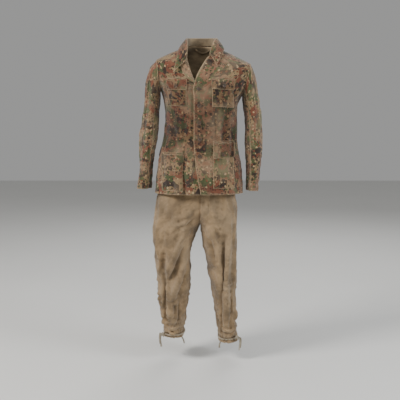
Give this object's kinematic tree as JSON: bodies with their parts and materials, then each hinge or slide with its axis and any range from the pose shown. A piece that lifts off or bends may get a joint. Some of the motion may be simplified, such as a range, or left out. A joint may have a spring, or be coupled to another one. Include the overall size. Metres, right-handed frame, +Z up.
{
  "type": "field tunic and trousers suit",
  "caption": "Worn camouflage field suit: buttoned tunic with collar, patch pockets and hinged flaps over plain drill trousers tied at the ankles.",
  "frame": {"origin": "middle of the wearer's neck at the height of the collar seam", "axes": "+Z up, -Y the wearer's front, +X the wearer's left"},
  "size_m": [0.58, 0.2837, 1.4632],
  "materials": {
    "camouflage_cloth": "matte printed twill, faded and worn",
    "lining_cloth": "matte plain cotton",
    "drill_cloth": "matte faded drill, creased",
    "tape": "matte cotton tape",
    "button": "dull dished button"
  },
  "bodies": {
    "root": {"back_panel": "camouflage_cloth", "left_front": "camouflage_cloth", "right_front": "camouflage_cloth", "left_facing": "lining_cloth", "right_facing": "lining_cloth", "right_lapel": "lining_cloth", "collar_stand": "lining_cloth", "collar_leaf": "camouflage_cloth", "hanger_loop": "lining_cloth", "left_chest_pocket": "camouflage_cloth", "left_chest_button": "button", "right_chest_pocket": "camouflage_cloth", "right_chest_button": "button", "left_skirt_pocket": "camouflage_cloth", "left_skirt_button": "button", "right_skirt_pocket": "camouflage_cloth", "right_skirt_button": "button", "front_button_1": "button", "front_button_2": "button", "front_button_3": "button", "front_button_4": "button", "front_button_5": "button", "left_seat_front": "drill_cloth", "left_seat_back": "drill_cloth", "right_seat_front": "drill_cloth", "right_seat_back": "drill_cloth", "waistband": "drill_cloth", "waist_button": "button"},
    "left_sleeve": {"left_topsleeve": "camouflage_cloth", "left_undersleeve": "camouflage_cloth", "left_cuff_hem": "lining_cloth"},
    "right_sleeve": {"right_topsleeve": "camouflage_cloth", "right_undersleeve": "camouflage_cloth", "right_cuff_hem": "lining_cloth"},
    "left_leg": {"left_leg_front": "drill_cloth", "left_leg_back": "drill_cloth", "left_hem_casing": "drill_cloth", "left_ankle_tape": "tape", "left_ankle_bow": "tape", "left_tape_end_front": "tape", "left_tape_end_back": "tape", "left_inner_tape": "tape"},
    "right_leg": {"right_leg_front": "drill_cloth", "right_leg_back": "drill_cloth", "right_hem_casing": "drill_cloth", "right_ankle_tape": "tape", "right_ankle_bow": "tape", "right_tape_end_front": "tape", "right_tape_end_back": "tape", "right_inner_tape": "tape"},
    "left_chest_flap_body": {"left_chest_flap": "camouflage_cloth"},
    "right_chest_flap_body": {"right_chest_flap": "camouflage_cloth"},
    "left_skirt_flap_body": {"left_skirt_flap": "camouflage_cloth"},
    "right_skirt_flap_body": {"right_skirt_flap": "camouflage_cloth"}
  },
  "joints": [
    {"name": "left_sleeve_swing", "type": "hinge", "parent": "root", "child": "left_sleeve", "pos_m": [0.2125, -0.0144, -0.1438], "axis": [-0.9715, 0, 0.2371], "range_deg": [-25, 50]},
    {"name": "right_sleeve_swing", "type": "hinge", "parent": "root", "child": "right_sleeve", "pos_m": [-0.1887, -0.0141, -0.1262], "axis": [-0.992, 0, -0.1265], "range_deg": [-25, 50]},
    {"name": "left_leg_swing", "type": "hinge", "parent": "root", "child": "left_leg", "pos_m": [0.09, -0.003, -0.7], "axis": [-1, 0, 0], "range_deg": [-20, 40]},
    {"name": "right_leg_swing", "type": "hinge", "parent": "root", "child": "right_leg", "pos_m": [-0.1, -0.003, -0.7], "axis": [-1, 0, 0], "range_deg": [-20, 40]},
    {"name": "left_chest_flap_hinge", "type": "hinge", "parent": "root", "child": "left_chest_flap_body", "pos_m": [0.10673, -0.13018, -0.13914], "axis": [-0.9539, -0.2971, 0.0419], "range_deg": [0, 150]},
    {"name": "right_chest_flap_hinge", "type": "hinge", "parent": "root", "child": "right_chest_flap_body", "pos_m": [-0.10773, -0.12639, -0.13615], "axis": [-0.916, 0.3991, 0.0401], "range_deg": [0, 150]},
    {"name": "left_skirt_flap_hinge", "type": "hinge", "parent": "root", "child": "left_skirt_flap_body", "pos_m": [0.10661, -0.12244, -0.42049], "axis": [-0.9291, -0.3698, 0], "range_deg": [0, 150]},
    {"name": "right_skirt_flap_hinge", "type": "hinge", "parent": "root", "child": "right_skirt_flap_body", "pos_m": [-0.13204, -0.12187, -0.47243], "axis": [-0.9079, 0.4193, 0], "range_deg": [0, 150]}
  ]
}
